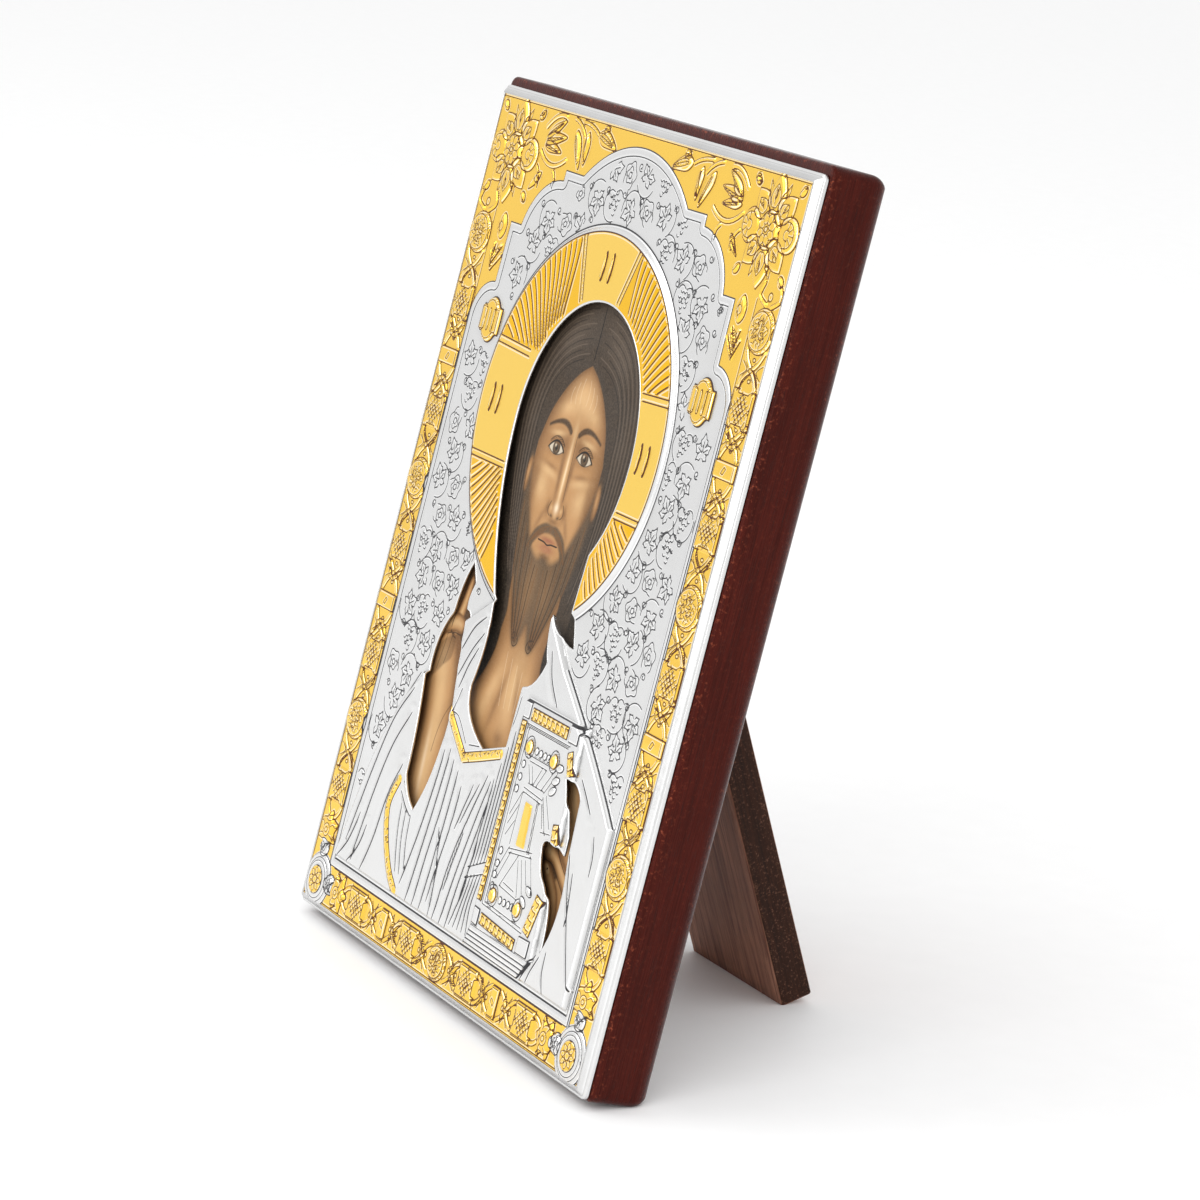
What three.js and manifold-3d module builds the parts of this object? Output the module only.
// A table icon: a wooden board that leans back on a folding strut. A printed picture lies on its front,
// under an embossed cover whose openings show the head, the hands and the neck of the printed figure.
// Millimetres. In the panel's own frame x runs across, y up the board and z out of its front face.
import * as THREE from 'three';
import Module from 'manifold-3d';

const wasm = await Module();
wasm.setup();

const degree = Math.PI / 180;

// Room between two pieces that lie on each other
const seam = 0.3;

// Board
const boardWidth = 167;
const boardHeight = 220;
const boardThickness = 16;
const boardCornerRadius = 2.5;
const backRound = 5;
const frontEase = 0.9;
const lean = 11.9 * degree;
const standingFlatDepth = 0.15;

// Strut
const strutWidth = 47;
const strutThickness = 8.8;
const strutEase = 0.6;
const strutLean = 18.8 * degree;
const pinHeight = 119.3;
const footFlatDepth = 0.5;

// Hinge between board and strut
const hingeWidth = 30;
const leafLength = 11;
const leafThickness = 0.8;
const knuckleRadius = 1.6;
const middleKnuckleLength = 12;
const pinRadius = 0.8;
const boreClearance = 0.25;

// Printed picture
const pictureThickness = 0.6;
const pictureMargin = 7.4;

// Cover: its margins on the board, its plate and the heights of its relief above the border's face
const coverMarginTop = 2.4;
const coverMarginBottom = 0.4;
const coverMarginSide = 1.1;
const coverCornerRadius = 1.5;
const plate = 1.0;
const airGap = 0.5;
const rimHeight = 0.9;
const rimWidth = 2.4;
const beadWidth = 0.9;
const beadRise = 0.35;
const mouldingWidth = 2.2;
const mouldingRise = 0.6;
const motifRise = 0.7;
const flowerRise = 1.0;
const leafRise = 0.4;
const plaqueRise = 0.8;
const haloRise = 1.0;
const haloFlank = 1.8;
const rayRise = 0.35;
const robeRise = 1.3;
const robeFlank = 1.3;
const foldRise = 0.55;
const trimWidth = 2.6;
const bookRise = 2.2;
const bookFrameRise = 0.45;
const bossRise = 0.9;
const bookFrameWidth = 4.2;

// The cover's carving is drawn on a sheet of this size, x from its middle and y from its bottom edge,
// and follows the cover when that is wider or taller.
const drawnWidth = 164.8;
const drawnHeight = 217.2;

const coverWidth = boardWidth - 2 * coverMarginSide;
const coverHeight = boardHeight - coverMarginTop - coverMarginBottom;
const across = coverWidth / drawnWidth;
const upward = coverHeight / drawnHeight;
const pictureFront = seam + pictureThickness;
const borderLevel = pictureFront + airGap + plate;
const haloLevel = borderLevel + haloRise;
const robeLevel = borderLevel + robeRise;
const bookLevel = borderLevel + bookRise;

// Slopes at the foot of raised forms, from crisp to soft
const crispFlank = 0.4;
const softFlank = 0.55;
const roundFlank = 0.75;

// Solids

const toSolid = (positions, triangles) => new wasm.Manifold(new wasm.Mesh({
  numProp: 3,
  vertProperties: Float32Array.from(positions),
  triVerts: Uint32Array.from(triangles),
}));

const fromGeometry = (geometry) => {
  const seen = new Map();
  const positions = [];
  const triangles = [];
  const place = geometry.attributes.position;
  const order = geometry.index ? [...geometry.index.array] : [...Array(place.count).keys()];
  for (const i of order) {
    const corner = [place.getX(i), place.getY(i), place.getZ(i)];
    const key = corner.map((value) => value.toFixed(4)).join();
    if (!seen.has(key)) {
      seen.set(key, seen.size);
      positions.push(...corner);
    }
    triangles.push(seen.get(key));
  }
  const kept = [];
  for (let i = 0; i < triangles.length; i += 3) {
    const [a, b, c] = triangles.slice(i, i + 3);
    if (a !== b && b !== c && a !== c) kept.push(a, b, c);
  }
  return toSolid(positions, kept);
};

const toMesh = (name, shape, material) => {
  const { vertProperties, triVerts } = shape.getMesh();
  const geometry = new THREE.BufferGeometry();
  geometry.setAttribute('position', new THREE.BufferAttribute(new Float32Array(vertProperties), 3));
  geometry.setIndex(new THREE.BufferAttribute(new Uint32Array(triVerts), 1));
  geometry.computeVertexNormals();
  const mesh = new THREE.Mesh(geometry, material);
  mesh.name = name;
  return mesh;
};

const joinAll = (solids) => {
  let row = solids;
  while (row.length > 1) {
    const next = [];
    for (let i = 0; i < row.length; i += 2) next.push(i + 1 < row.length ? row[i].add(row[i + 1]) : row[i]);
    row = next;
  }
  return row[0];
};

const area = (points) => THREE.ShapeUtils.area(points.map(([x, y]) => new THREE.Vector2(x, y)));
const anticlockwise = (points) => (area(points) < 0 ? [...points].reverse() : points);

// Each corner moves inwards along the mean of its two sides' normals.
const inset = (points, distance) => points.map(([x, y], i) => {
  const before = new THREE.Vector2(...points[(i + points.length - 1) % points.length]);
  const after = new THREE.Vector2(...points[(i + 1) % points.length]);
  const here = new THREE.Vector2(x, y);
  const first = here.clone().sub(before).normalize();
  const second = after.clone().sub(here).normalize();
  const normal = new THREE.Vector2(-first.y - second.y, first.x + second.x);
  const reach = distance / Math.max(0.5, normal.length() / 2);
  normal.normalize().multiplyScalar(reach);
  return [x + normal.x, y + normal.y];
});

// A closed solid through rings of equally many points, each ring at its own height.
const loft = (rings) => {
  const count = rings[0].points.length;
  const positions = rings.flatMap(({ points, z }) => points.flatMap(([x, y]) => [x, y, z]));
  const cap = (points) => THREE.ShapeUtils.triangulateShape(
    points.map(([x, y]) => new THREE.Vector2(x, y)), []);
  const triangles = cap(rings[0].points).flatMap(([a, b, c]) => [a, c, b]);
  for (let ring = 0; ring + 1 < rings.length; ring += 1) {
    for (let i = 0; i < count; i += 1) {
      const next = (i + 1) % count;
      const a = ring * count + i;
      const b = ring * count + next;
      triangles.push(a, b, b + count, a, b + count, a + count);
    }
  }
  const top = (rings.length - 1) * count;
  triangles.push(...cap(rings[rings.length - 1].points).flat().map((i) => i + top));
  return toSolid(positions, triangles);
};

const scaled = (points) => points.map(([x, y]) => [x * across, y * upward]);

// A raised form with sloping sides, drawn on the cover's sheet.
const mound = (points, low, high, slope) => {
  const outline = anticlockwise(scaled(points));
  return loft([{ points: outline, z: low }, { points: inset(outline, slope), z: high }]);
};

const prism = (points, low, high) => mound(points, low, high, 0);

// Outlines

// Drops every point that lies on the next one, the last beside the first too.
const withoutDoubles = (points) => points.filter(([x, y], i) => {
  const [nextX, nextY] = points[(i + 1) % points.length];
  return Math.hypot(nextX - x, nextY - y) > 1e-6;
});

const samples = (shape, steps) => withoutDoubles(shape.getPoints(steps).map((point) => [point.x, point.y]));

const roundedRectangle = (left, right, bottom, top, radius, steps) => {
  const shape = new THREE.Shape();
  shape.absarc(right - radius, bottom + radius, radius, -90 * degree, 0, false);
  shape.absarc(right - radius, top - radius, radius, 0, 90 * degree, false);
  shape.absarc(left + radius, top - radius, radius, 90 * degree, 180 * degree, false);
  shape.absarc(left + radius, bottom + radius, radius, 180 * degree, 270 * degree, false);
  return samples(shape, steps);
};

const circle = (x, y, radiusX, radiusY, sides, turn = 0) => Array.from({ length: sides }, (_, i) => {
  const angle = turn + (i * 360 * degree) / sides;
  return [x + radiusX * Math.cos(angle), y + radiusY * Math.sin(angle)];
});

const rectangle = (x, y, width, height) => [
  [x - width / 2, y - height / 2], [x + width / 2, y - height / 2],
  [x + width / 2, y + height / 2], [x - width / 2, y + height / 2],
];

const mirrored = (points) => points.map(([x, y]) => [-x, y]);

const inside = (points, x, y) => {
  let within = false;
  for (let i = 0, j = points.length - 1; i < points.length; j = i, i += 1) {
    const [ax, ay] = points[i];
    const [bx, by] = points[j];
    if ((ay > y) !== (by > y) && x < ((bx - ax) * (y - ay)) / (by - ay) + ax) within = !within;
  }
  return within;
};

// A pointed strip along a bend through three points, widest in its middle.
const stroke = ([x0, y0], [x1, y1], [x2, y2], width, steps) => {
  const bend = new THREE.QuadraticBezierCurve(
    new THREE.Vector2(x0, y0), new THREE.Vector2(x1, y1), new THREE.Vector2(x2, y2));
  const oneSide = [];
  const otherSide = [];
  for (let i = 1; i < steps; i += 1) {
    const here = bend.getPoint(i / steps);
    const along = bend.getTangent(i / steps);
    const half = (width / 2) * Math.sin((i / steps) * 180 * degree) ** 0.5;
    oneSide.push([here.x - along.y * half, here.y + along.x * half]);
    otherSide.unshift([here.x + along.y * half, here.y - along.x * half]);
  }
  return [[x0, y0], ...otherSide.reverse(), [x2, y2], ...oneSide.reverse()];
};

// Board, with its long back edges rounded and its front edges eased

const boardRing = (z, back) => ({
  z,
  points: roundedRectangle(
    -boardWidth / 2 + back, boardWidth / 2 - back, back, boardHeight - back,
    Math.max(boardCornerRadius - back, frontEase / 2), 1),
});

const makeBoard = () => {
  const roundSteps = 5;
  const knee = 0.3 * frontEase;
  const rounded = Array.from({ length: roundSteps + 1 }, (_, i) => {
    const angle = (i / roundSteps) * 90 * degree;
    const depth = boardThickness - backRound * (1 - Math.cos(angle));
    return boardRing(-depth, backRound * (1 - Math.sin(angle)));
  });
  return loft([...rounded, boardRing(-frontEase, 0), boardRing(-knee, knee), boardRing(0, frontEase)]);
};

// Cover outlines

const archHalfWidth = 69.4;
const archLobe = { x: -59.1, y: 158.6, radius: 10.3 };
const archShoulder = { x: -36.4, y: 180.8, radius: 17.3 };
const archTop = { y: 171.4, radius: 40 };
const archFoot = 13.0;

// The left half climbs by a small lobe, a shoulder and the top arc, with square steps between them.
const archOutline = () => {
  const left = new THREE.Path();
  left.moveTo(-archHalfWidth, archFoot);
  left.lineTo(-archHalfWidth, archLobe.y);
  left.absarc(archLobe.x, archLobe.y, archLobe.radius, 180 * degree, 92 * degree, true);
  left.lineTo(archLobe.x, 184.5);
  left.lineTo(-53.6, 184.5);
  left.absarc(archShoulder.x, archShoulder.y, archShoulder.radius, 168 * degree, 92 * degree, true);
  left.lineTo(-36.9, 200.8);
  const start = Math.acos(-27.2 / archTop.radius);
  left.absarc(0, archTop.y, archTop.radius, start, 90 * degree, true);
  const points = left.getPoints(4).map((point) => [point.x, point.y]);
  const right = mirrored(points).reverse().slice(1);
  return [...points, ...right];
};

const halo = { x: -2.1, y: 142.3, radius: 47.8 };

// The opening for the head is an egg that runs down into the open neck of the robe.
const headOpening = () => {
  const shape = new THREE.Shape();
  shape.moveTo(-16, 95.5);
  shape.quadraticCurveTo(-29, 118, -28.9, 140);
  shape.absellipse(1.9, 140, 30.8, 33.6, 180 * degree, 0, true);
  shape.quadraticCurveTo(32.6, 126, 24.4, 116);
  shape.lineTo(23.4, 101.5);
  shape.lineTo(27.2, 93.4);
  shape.quadraticCurveTo(20, 93, 15, 99);
  shape.quadraticCurveTo(15.5, 92, 18.6, 88);
  shape.quadraticCurveTo(15.5, 80.5, 9.6, 79.8);
  shape.lineTo(9.2, 64.6);
  shape.lineTo(-2.4, 61);
  shape.quadraticCurveTo(-16.8, 66, -16.6, 74);
  shape.quadraticCurveTo(-13.2, 86, -16, 95.5);
  return samples(shape, 4);
};

const handOpening = () => {
  const shape = new THREE.Shape();
  shape.moveTo(-32.9, 102.2);
  shape.quadraticCurveTo(-31, 99.5, -29.2, 97);
  shape.lineTo(-32, 90.6);
  shape.lineTo(-27.3, 88);
  shape.lineTo(-22.6, 66);
  shape.quadraticCurveTo(-22.6, 49, -29.7, 37.9);
  shape.quadraticCurveTo(-36, 41, -38.4, 45.5);
  shape.quadraticCurveTo(-38.4, 58, -42.5, 72.5);
  shape.quadraticCurveTo(-43.4, 81, -37.4, 88);
  shape.quadraticCurveTo(-36.6, 97, -32.9, 102.2);
  return samples(shape, 4);
};

const fingersOpening = () => {
  const shape = new THREE.Shape();
  shape.moveTo(42.5, 66);
  shape.quadraticCurveTo(48.5, 66, 50.6, 62.4);
  shape.lineTo(51.8, 49);
  shape.quadraticCurveTo(56, 35, 50, 25);
  shape.quadraticCurveTo(49.8, 38, 43, 41.4);
  shape.lineTo(39.5, 48.4);
  shape.lineTo(41.6, 50.2);
  shape.lineTo(49.4, 48.8);
  shape.lineTo(49.2, 53.2);
  return samples(shape, 4);
};

const robeOutline = () => {
  const shape = new THREE.Shape();
  shape.moveTo(-16, 96);
  shape.lineTo(-28, 88);
  shape.lineTo(-42, 72);
  shape.quadraticCurveTo(-57, 56, -62, 34);
  shape.lineTo(-66.4, 16.2);
  shape.lineTo(66.4, 16.2);
  shape.lineTo(66.4, 60);
  shape.quadraticCurveTo(50, 74, 27.4, 88.6);
  shape.lineTo(15, 99);
  return samples(shape, 5);
};

const bookOutline = [[15, 21.8], [47.4, 21.8], [44.8, 78.2], [15, 78.2]];
const pagesOutline = [[12.6, 16.6], [42.4, 16.6], [47.4, 21.8], [15, 21.8]];
const plaque = { x: 56.4, y: 159.6, width: 10.4, height: 10.2, notch: 1.3 };

const notched = (x, y, width, height, notch) => {
  const corner = [[1, -1], [1, 1], [-1, 1], [-1, -1]];
  return corner.flatMap(([sideX, sideY]) => {
    const outer = [x + (sideX * width) / 2, y + sideY * (height / 2 - notch)];
    const middle = [x + sideX * (width / 2 - notch), y + sideY * (height / 2 - notch)];
    const upper = [x + sideX * (width / 2 - notch), y + (sideY * height) / 2];
    return sideX === sideY ? [outer, middle, upper] : [upper, middle, outer];
  });
};

// Relief: the border's band

const band = { inner: 68.6, outer: 80.0, bottom: 2.4, top: 12.9 };
const bandMiddle = (band.inner + band.outer) / 2;
const bottomMiddle = (band.bottom + band.top) / 2;
const base = borderLevel - plate / 2;

// How much higher than its motif a knob in the middle stands
const knobHeight = 1.7;

const medallion = (x, y, radiusX, radiusY) => [
  mound(circle(x, y, radiusX, radiusY, 10), base, borderLevel + motifRise, roundFlank),
  mound(circle(x, y, radiusX / 2, radiusY / 2, 6), base, borderLevel + motifRise * knobHeight, roundFlank),
];

const cartouche = (x, y, width, height) => [
  mound(notched(x, y, width, height, plaque.notch), base, borderLevel + motifRise, crispFlank),
  mound(circle(x, y, width / 3, height / 3, 4), base, borderLevel + motifRise * knobHeight, softFlank),
];

const buckle = (x, y, width, height) => [
  mound(rectangle(x, y, width, height), base, borderLevel + motifRise, crispFlank),
];

// Where a plait's two bands pass each other: four arms with a narrow waist between them.
const crossing = (x, y, width, height) => {
  const waist = 0.28;
  const arms = Array.from({ length: 8 }, (_, i) => {
    const angle = i * 45 * degree;
    const reach = i % 2 ? 0.5 * Math.SQRT2 : 0.5 * waist;
    return [x + width * reach * Math.cos(angle), y + height * reach * Math.sin(angle)];
  });
  return [prism(arms, base, borderLevel + motifRise * 0.8)];
};

const leafShape = (x, y, size, turn, lobes, sides) => Array.from({ length: sides }, (_, i) => {
  const angle = (i * 360 * degree) / sides;
  const reach = size * (0.66 + 0.34 * Math.cos(lobes * angle));
  return [x + reach * Math.cos(angle + turn), y + reach * Math.sin(angle + turn)];
});

const sideBand = (side) => {
  const x = side * bandMiddle;
  const width = band.outer - band.inner - 1.4;
  const pieces = [];
  for (const y of [179.4, 114.7, 50.7]) pieces.push(...medallion(x, y, 5.9, 5.4));
  for (const y of [161.2, 132.5, 97, 67.9, 32.7]) pieces.push(...cartouche(x, y, width, 9.2));
  for (const y of [146.9, 82.2]) pieces.push(...buckle(x, y, width, 4));
  for (const y of [170, 152.5, 141.2, 124, 105.2, 88.2, 76.2, 59.3, 41.6]) {
    pieces.push(...crossing(x, y, width * 0.6, 6.6));
  }
  const vase = leafShape(x, 21.5, 5.6, 90 * degree, 3, 12);
  pieces.push(mound(vase, base, borderLevel + motifRise, softFlank));
  return pieces;
};

const bottomBand = () => {
  const height = band.top - band.bottom - 1.6;
  const pieces = [...medallion(0, bottomMiddle, 5.6, 5.4)];
  for (const side of [-1, 1]) {
    for (const x of [17, 48]) pieces.push(...cartouche(side * x, bottomMiddle, 10.4, height));
    pieces.push(...buckle(side * 32.6, bottomMiddle, 4.4, height * 0.8));
    const leaf = leafShape(side * 60.4, bottomMiddle, 5, 0, 2, 10);
    pieces.push(mound(leaf, base, borderLevel + motifRise, softFlank));
    for (const x of [8.6, 26.4, 38.8]) pieces.push(...crossing(side * x, bottomMiddle, 4.4, height * 0.8));
  }
  return pieces;
};

const cornerRoundel = (side) => {
  const x = side * 73.6;
  const y = 7.4;
  return [
    mound(circle(x, y, 7.2, 7, 14), base, borderLevel + motifRise, softFlank),
    mound(circle(x, y, 5.2, 5.1, 12), base, borderLevel + motifRise * knobHeight, softFlank),
    mound(circle(x, y, 2.6, 2.6, 8), base, borderLevel + motifRise * (2 * knobHeight - 1), roundFlank),
  ];
};

// Relief: the star flower in each upper corner, with what hangs below it

const petal = (x, y, near, far, halfWidth, angle) => [
  [near, -halfWidth * 0.5], [(near + far) / 2, -halfWidth], [far, 0],
  [(near + far) / 2, halfWidth], [near, halfWidth * 0.5],
].map(([along, aside]) => [
  x + along * Math.cos(angle) - aside * Math.sin(angle),
  y + along * Math.sin(angle) + aside * Math.cos(angle),
]);

const cornerFlower = (side) => {
  const x = side * 66.6;
  const y = 201.7;
  const pieces = [];
  for (let i = 0; i < 8; i += 1) {
    const far = i % 2 ? 12.4 : 13.8;
    const high = borderLevel + flowerRise * (i % 2 ? 0.8 : 1);
    pieces.push(mound(petal(x, y, 3.6, far, 3.1, i * 45 * degree), base, high, softFlank));
  }
  pieces.push(mound(circle(x, y, 4.7, 4.7, 10), base, borderLevel + flowerRise * 1.4, roundFlank));
  pieces.push(mound(circle(x, y, 2.4, 2.4, 6), base, borderLevel + flowerRise * 1.8, roundFlank));
  const leaf = leafShape(side * 62.6, 181.4, 4.2, 90 * degree, 2, 8);
  pieces.push(mound(leaf, base, borderLevel + motifRise, softFlank));
  pieces.push(mound(circle(side * 63.2, 173.4, 3.4, 4.6, 4), base, borderLevel + motifRise, softFlank));
  return pieces;
};

// Leaves and buds along the top, between the corner flower and the arch.
const spray = (side) => {
  const leaf = (x, y, length, width, angle) => mound(
    petal(side * x, y, 0, length, width, side > 0 ? 180 * degree - angle : angle),
    base, borderLevel + motifRise, crispFlank);
  return [
    leaf(-52.5, 209.5, 8.5, 2.0, -20 * degree),
    leaf(-50.5, 206.5, 13, 2.6, -4 * degree),
    leaf(-40.5, 208, 8, 2.2, 35 * degree),
    leaf(-47, 196.5, 9, 1.6, 30 * degree),
    leaf(-36.5, 204, 9, 1.8, 62 * degree),
    leaf(-31.5, 205.8, 7.5, 1.9, 118 * degree),
    leaf(-23.5, 211.4, 11, 1.9, 2 * degree),
  ];
};

// Relief: arch moulding, ground leaves, plaques

const archMoulding = () => {
  const outline = archOutline();
  const outer = mound(outline, base, borderLevel + mouldingRise, crispFlank);
  const hollow = inset(anticlockwise(scaled(outline)), mouldingWidth);
  return outer.subtract(loft([{ points: hollow, z: borderLevel }, { points: hollow, z: bookLevel }]));
};

const groundLeaves = (arch, keepOut) => {
  const pitchX = 10;
  const pitchY = 8.8;
  const size = 3.5;
  const pieces = [];
  for (let row = 0; row * pitchY < 190; row += 1) {
    for (let column = -9; column <= 9; column += 1) {
      const x = (column + (row % 2) / 2) * pitchX;
      const y = 30 + row * pitchY;
      const turn = (column * 77 + row * 131) * degree;
      const lobed = (row + column) % 2 === 0;
      const rose = circle(x, y, size * 0.72, size * 0.72, 5, turn);
      const leaf = lobed ? leafShape(x, y, size, turn, 3, 8) : rose;
      const margin = leafShape(x, y, size * 1.35, turn, 0, 8);
      const free = ([px, py]) => inside(arch, px, py) && !keepOut.some((test) => test(px, py));
      const clear = margin.every(free);
      if (clear) pieces.push(mound(leaf, base, borderLevel + leafRise, crispFlank));
    }
  }
  return pieces;
};

const plaques = () => [-1, 1].flatMap((side) => {
  const x = side * plaque.x;
  const outline = notched(x, plaque.y, plaque.width, plaque.height, plaque.notch);
  const pieces = [mound(outline, base, borderLevel + plaqueRise, crispFlank)];
  for (const aside of [-2.2, 0, 2.2]) {
    const mark = rectangle(x + aside, plaque.y, 0.9, plaque.height * 0.45);
    pieces.push(prism(mark, base, borderLevel + plaqueRise + rayRise));
  }
  return pieces;
});

// Relief: the halo, a raised disc with a plain cross and fluted quarters

const haloDisc = () => {
  const rim = halo.radius + haloFlank;
  const outline = circle(halo.x, halo.y, rim, rim, 44);
  return mound(outline, base, haloLevel, haloFlank);
};

const haloRays = (opening) => {
  const pieces = [];
  const outer = halo.radius - 1.2;
  const ray = (angle, swirl) => {
    const at = (radius, bend) => [
      halo.x + radius * Math.cos(angle + bend), halo.y + radius * Math.sin(angle + bend)];
    let inner = outer - 3;
    while (inner > 20 && !inside(opening, ...at(inner - 1.2, swirl))) inner -= 1;
    const strip = stroke(at(outer, 0), at((outer + inner) / 2, swirl * 0.35), at(inner, swirl), 1.1, 3);
    if (outer - inner > 4) pieces.push(prism(strip, haloLevel - plate / 2, haloLevel + rayRise));
  };
  const upperCount = 12;
  const lowerCount = 6;
  for (let i = 0; i < upperCount; i += 1) {
    const rise = 22 + (46 * (i + 0.5)) / upperCount;
    ray(rise * degree, (-4 - rise / 12) * degree);
    ray((180 - rise) * degree, (4 + rise / 12) * degree);
  }
  for (let i = 0; i < lowerCount; i += 1) {
    const fall = 22 + (32 * (i + 0.5)) / lowerCount;
    ray(-fall * degree, 5 * degree);
    ray((180 + fall) * degree, -5 * degree);
  }
  const marks = [[halo.x, halo.y + 39], [halo.x - 40, halo.y], [halo.x + 40.5, halo.y]];
  for (const [x, y] of marks) {
    for (const aside of [-1.7, 1.7]) {
      pieces.push(prism(rectangle(x + aside, y, 0.9, 7), haloLevel - plate / 2, haloLevel + rayRise));
    }
  }
  return pieces;
};

// Relief: the robe with its folds, and the book

// Folds of one family change evenly from the first bend to the last.
const foldFamily = (first, last, count, width) => Array.from({ length: count }, (_, i) => {
  const share = count > 1 ? i / (count - 1) : 0;
  const [start, bend, end] = first.map(([x, y], j) => [
    x + (last[j][0] - x) * share, y + (last[j][1] - y) * share]);
  return prism(stroke(start, bend, end, width, 3), robeLevel - plate / 2, robeLevel + foldRise);
});

const robeFolds = () => [
  ...foldFamily([[-43, 66], [-53, 50], [-60, 22]], [[-40, 40], [-42, 30], [-36, 19]], 5, 1.8),
  ...foldFamily([[-22, 60], [-20, 40], [-26, 19]], [[6, 60], [8, 42], [5, 19]], 8, 1.6),
  ...foldFamily([[-20, 90], [-25, 84], [-26, 78]], [[-18, 76], [-22, 72], [-21, 69]], 3, 1.5),
  ...foldFamily([[20, 93], [38, 84], [56, 66]], [[20, 84], [34, 82], [46, 74]], 3, 1.8),
  ...foldFamily([[62, 58], [60, 40], [64, 19]], [[54, 54], [57, 34], [56, 19]], 3, 1.8),
];

const robeTrims = () => [
  [[-24, 62.6], [-17, 62.4], [-10.5, 57.8]],
  [[-11.2, 58.4], [0, 60], [9.6, 63]],
  [[-42, 44], [-40, 30], [-28, 18]],
].map(([start, bend, end]) => prism(
  stroke(start, bend, end, trimWidth, 4), robeLevel - plate / 2, robeLevel + foldRise));

const book = () => {
  const bookBase = robeLevel - plate / 2;
  const corners = anticlockwise(scaled(bookOutline));
  const well = inset(corners, bookFrameWidth);
  const frame = mound(bookOutline, bookBase, bookLevel + bookFrameRise, crispFlank)
    .subtract(loft([{ points: well, z: bookLevel }, { points: well, z: bookLevel + bossRise + plate }]));
  const pages = [0.3, 0.47, 0.63].map((height, i) => {
    const leaves = pagesOutline.map(([x, y]) => [x, y + ((bookOutline[0][1] - y) * i) / 3]);
    return mound(leaves, bookBase, robeLevel + (bookRise - robeRise) * height, crispFlank / 2);
  });
  const bosses = [[22.4, 68], [35.6, 67.8], [22.8, 31.2], [36, 31.4]].map(([x, y]) => mound(
    circle(x, y, 2.2, 2.4, 8), bookBase, bookLevel + bossRise, roundFlank));
  const bar = mound(rectangle(28.8, 50.4, 4.2, 10.6), bookBase, bookLevel + bossRise * 0.7, crispFlank);
  const wedges = [[62.2, -1], [38.4, 1]].map(([y, point]) => mound(
    [[28.8 - 4.6, y - 3.4 * point], [28.8 + 4.6, y - 3.4 * point], [28.8, y + 3.4 * point]],
    bookBase, bookLevel + bossRise / 2, softFlank));
  return [frame, ...pages, ...bosses, bar, ...wedges];
};

// The cover's plain dish: edge, stepped rim and flat face

const coverRing = (z, back) => ({
  z,
  points: roundedRectangle(
    -coverWidth / 2 + back, coverWidth / 2 - back, back, coverHeight - back,
    Math.max(coverCornerRadius - back, 0.3), 1),
});

const rimStep = rimWidth * 0.4;
const rimInside = rimWidth * 0.75;

const makeDish = () => {
  const edgeTop = seam + rimHeight;
  const edgeEase = 0.25;
  const face = loft([
    coverRing(seam, 0), coverRing(edgeTop - edgeEase, 0), coverRing(edgeTop, edgeEase),
    coverRing(edgeTop + edgeEase / 2, rimStep), coverRing(borderLevel, rimInside),
  ]);
  const beadTop = borderLevel + beadRise;
  const beadOuter = rimWidth - beadWidth;
  const bead = loft([coverRing(base, beadOuter), coverRing(beadTop, beadOuter + edgeEase)]);
  const beadHole = loft([coverRing(borderLevel, rimWidth), coverRing(beadTop + plate, rimWidth)]);
  return face.add(bead.subtract(beadHole));
};

// What is hollow under the plate, open towards the board
const makeHollow = (headEdge) => {
  const floor = -plate;
  const under = (points, level, wall) => {
    const outline = inset(anticlockwise(scaled(points)), wall);
    return loft([{ points: outline, z: floor }, { points: outline, z: level - plate }]);
  };
  const wall = rimInside + plate;
  const main = loft([coverRing(floor, wall), coverRing(borderLevel - plate, wall)]);
  const haloRim = circle(halo.x, halo.y, halo.radius, halo.radius, 20);
  const bookPlate = inset(bookOutline, -crispFlank);
  return [
    main, under(haloRim, haloLevel, plate), under(robeOutline(), robeLevel, robeFlank + plate),
    under(bookPlate, bookLevel, plate), under(headEdge, haloLevel, -plate),
  ];
};

const cut = (points) => {
  const outline = anticlockwise(scaled(points));
  return loft([{ points: outline, z: -plate }, { points: outline, z: bookLevel + bossRise + plate }]);
};

const makeCover = () => {
  const head = headOpening();
  const hand = handOpening();
  const fingers = fingersOpening();
  const robe = robeOutline();
  const arch = inset(anticlockwise(archOutline()), mouldingWidth);
  const nearHalo = (x, y) => Math.hypot(x - halo.x, y - halo.y) < halo.radius + haloFlank;
  const nearPlaque = (x, y) => Math.abs(Math.abs(x) - plaque.x) < plaque.width / 2
    && Math.abs(y - plaque.y) < plaque.height / 2;
  const keepOut = [
    nearHalo, nearPlaque, ...[robe, hand, head].map((outline) => (x, y) => inside(outline, x, y)),
  ];
  const raised = [
    makeDish(), archMoulding(), ...groundLeaves(arch, keepOut), ...plaques(),
    ...sideBand(-1), ...sideBand(1), ...bottomBand(), ...cornerRoundel(-1), ...cornerRoundel(1),
    ...cornerFlower(-1), ...cornerFlower(1), ...spray(-1), ...spray(1),
    haloDisc(), ...haloRays(head),
    mound(robe, base, robeLevel, robeFlank), ...robeFolds(), ...robeTrims(), ...book(),
  ];
  let cover = joinAll(raised);
  for (const tool of [...makeHollow(head), cut(head), cut(hand), cut(fingers)]) cover = cover.subtract(tool);
  return cover;
};

// Strut and hinge, in the hinge pin's frame: x along the pin, y up the folded strut, z towards the board

const opening = lean + strutLean;
const pinOffset = knuckleRadius + seam;
const sideways = new THREE.Matrix4().makeBasis(
  new THREE.Vector3(0, 1, 0), new THREE.Vector3(0, 0, 1), new THREE.Vector3(1, 0, 0));

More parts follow.
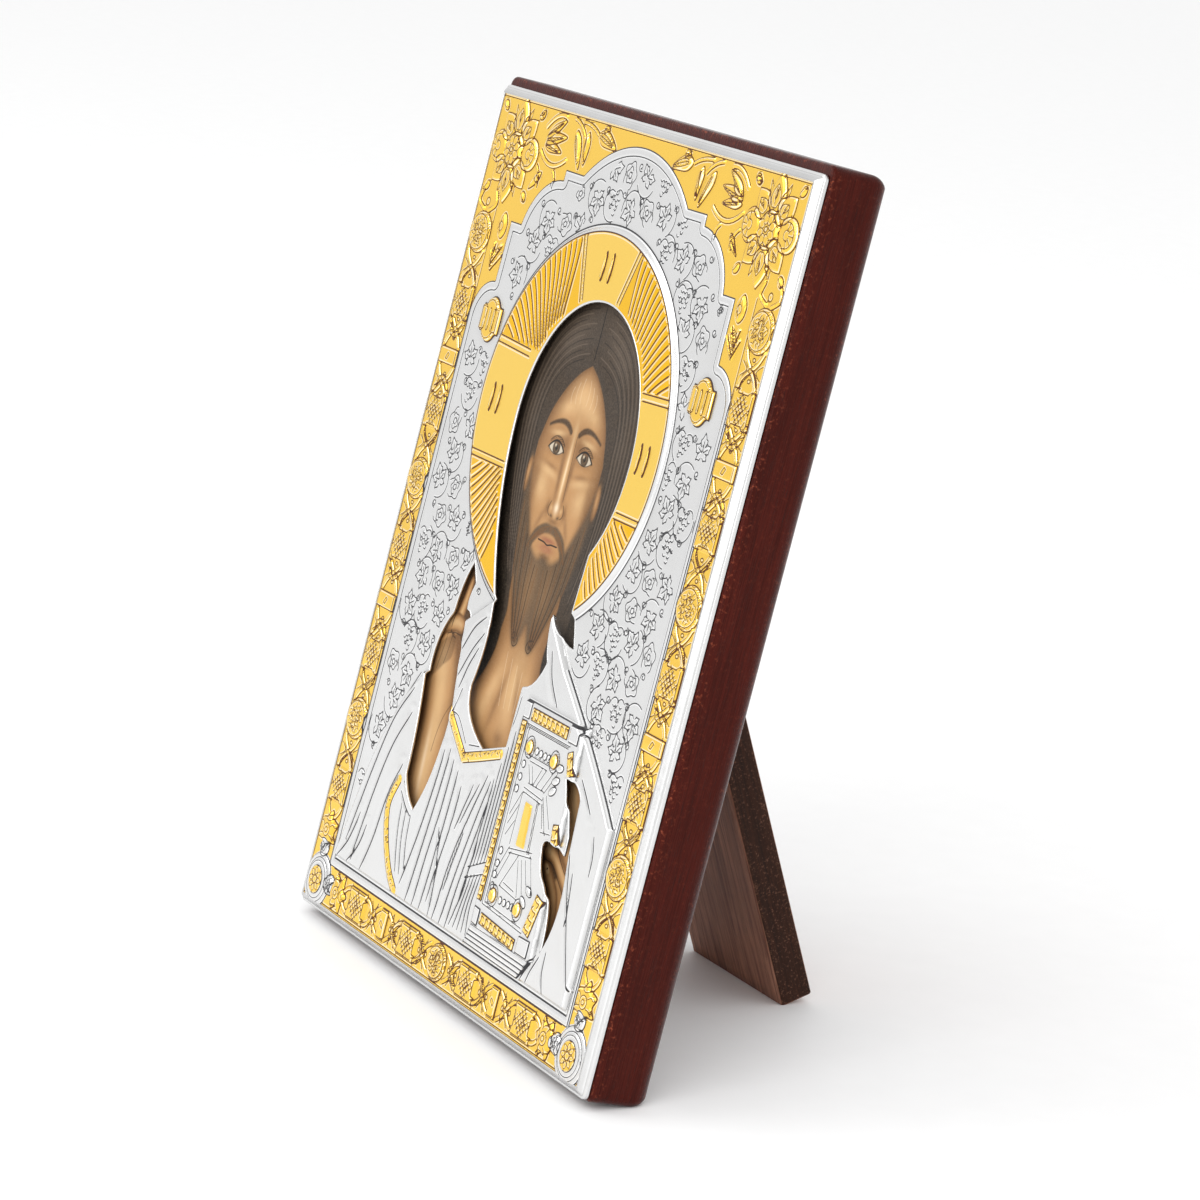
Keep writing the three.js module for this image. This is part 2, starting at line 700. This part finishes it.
// A profile drawn in y and z, extruded along x from one place to another.
const alongPin = (shape, from, to, ease = 0) => {
  const geometry = new THREE.ExtrudeGeometry(shape, {
    depth: to - from - 2 * ease,
    bevelEnabled: ease > 0,
    bevelThickness: ease,
    bevelSize: ease,
    bevelOffset: -ease,
    bevelSegments: 2,
    curveSegments: 6,
  });
  geometry.translate(0, 0, from + ease);
  geometry.applyMatrix4(sideways);
  return fromGeometry(geometry);
};

const profile = (points) => new THREE.Shape(points.map(([y, z]) => new THREE.Vector2(y, z)));

const disc = (radius) => {
  const shape = new THREE.Shape();
  shape.absarc(0, 0, radius, 0, 360 * degree, false);
  return shape;
};

// How far the board's lowest point lies below the panel frame's origin as the board leans back
const panelLift = backRound - backRound * Math.cos(lean) + (boardThickness - backRound) * Math.sin(lean)
  - standingFlatDepth;
const pinLift = panelLift + pinHeight * Math.cos(lean) - (boardThickness + pinOffset) * Math.sin(lean);
const strutLength = (pinLift + pinOffset * Math.sin(strutLean) + footFlatDepth) / Math.cos(strutLean);

// The strut's top end is cut so that it lies flat against the board's back when the strut is open.
const bevelTop = (fromPin) => (pinOffset + fromPin * Math.cos(opening) - seam) / Math.sin(opening);

const makeStrut = () => {
  const inner = pinOffset;
  const outer = pinOffset + strutThickness;
  return alongPin(profile([
    [-strutLength, -inner], [bevelTop(inner), -inner], [bevelTop(outer), -outer], [-strutLength, -outer],
  ]), -strutWidth / 2, strutWidth / 2, strutEase);
};

// One leaf of the hinge: side is +1 for the leaf on the board and -1 for the one on the strut.
const makeLeaf = (side, knuckles) => {
  const flat = profile([
    [-leafLength, side * (knuckleRadius - leafThickness)], [0, side * (knuckleRadius - leafThickness)],
    [0, side * knuckleRadius], [-leafLength, side * knuckleRadius],
  ]);
  let leaf = alongPin(flat, -hingeWidth / 2, hingeWidth / 2);
  for (const [from, to] of knuckles.own) leaf = leaf.add(alongPin(disc(knuckleRadius), from, to));
  for (const [from, to] of knuckles.other) {
    const room = profile([
      [-knuckleRadius - seam, -knuckleRadius - seam], [knuckleRadius + seam, -knuckleRadius - seam],
      [knuckleRadius + seam, knuckleRadius + seam], [-knuckleRadius - seam, knuckleRadius + seam],
    ]);
    leaf = leaf.subtract(alongPin(room, from, to));
  }
  return leaf.subtract(alongPin(disc(pinRadius + boreClearance), -hingeWidth, hingeWidth));
};

const middle = middleKnuckleLength / 2;
const outerKnuckles = [[-hingeWidth / 2, -middle - seam / 2], [middle + seam / 2, hingeWidth / 2]];
const outerRoom = [[-hingeWidth / 2 - seam, -middle + seam / 2], [middle - seam / 2, hingeWidth / 2 + seam]];
const innerKnuckle = [[-middle + seam / 2, middle - seam / 2]];
const innerRoom = [[-middle - seam / 2, middle + seam / 2]];

// Everything below the surface that the icon stands on is cut away, which leaves narrow flats.
const levelOff = (shape, frame) => {
  const reach = boardHeight * 2;
  const ground = new THREE.BoxGeometry(reach, reach, reach);
  ground.translate(0, 0, -reach / 2);
  ground.applyMatrix4(frame.clone().invert());
  return shape.subtract(fromGeometry(ground));
};

// The pieces in place

const standing = new THREE.Group();
const panel = new THREE.Group();
panel.rotation.x = 90 * degree - lean;
panel.position.z = panelLift;
standing.add(panel);

const coverFrame = new THREE.Group();
coverFrame.position.y = coverMarginBottom;
panel.add(coverFrame);

const pinFrame = new THREE.Group();
pinFrame.position.set(0, pinHeight, -boardThickness - pinOffset);
panel.add(pinFrame);

const strutFrame = new THREE.Group();
strutFrame.rotation.x = opening;
pinFrame.add(strutFrame);
standing.updateMatrixWorld(true);

const wood = new THREE.MeshStandardMaterial({ color: 0x3a120c, roughness: 0.45, metalness: 0 });
const strutWood = new THREE.MeshStandardMaterial({ color: 0x4a2318, roughness: 0.55, metalness: 0 });
const print = new THREE.MeshStandardMaterial({ color: 0x6a4a2c, roughness: 0.5, metalness: 0 });
const silver = new THREE.MeshStandardMaterial({ color: 0xd8d6d0, roughness: 0.3, metalness: 0.9 });
const brass = new THREE.MeshStandardMaterial({ color: 0xb8a468, roughness: 0.35, metalness: 0.9 });

panel.add(toMesh('board', levelOff(makeBoard(), panel.matrixWorld), wood));

const pictureSheet = {
  left: -boardWidth / 2 + coverMarginSide + pictureMargin,
  bottom: coverMarginBottom + pictureMargin,
  top: boardHeight - coverMarginTop - pictureMargin,
};
const sheetOutline = roundedRectangle(
  pictureSheet.left, -pictureSheet.left, pictureSheet.bottom, pictureSheet.top, coverCornerRadius, 1);
panel.add(toMesh('picture', loft([
  { points: sheetOutline, z: seam }, { points: sheetOutline, z: pictureFront },
]), print));

coverFrame.add(toMesh('cover', makeCover(), silver));
pinFrame.add(toMesh('hinge_board_leaf', makeLeaf(1, { own: outerKnuckles, other: innerRoom }), brass));
pinFrame.add(toMesh('hinge_pin', alongPin(disc(pinRadius), -hingeWidth / 2, hingeWidth / 2), brass));
strutFrame.add(toMesh('hinge_strut_leaf', makeLeaf(-1, { own: innerKnuckle, other: outerRoom }), brass));
strutFrame.add(toMesh('strut', levelOff(makeStrut(), strutFrame.matrixWorld), strutWood));

// The origin lies on the ground, under the middle of the whole.
standing.updateMatrixWorld(true);
const middleOfAll = new THREE.Box3().setFromObject(standing, true).getCenter(new THREE.Vector3());
standing.position.set(-middleOfAll.x, -middleOfAll.y, 0);
standing.updateMatrixWorld(true);

export default standing;
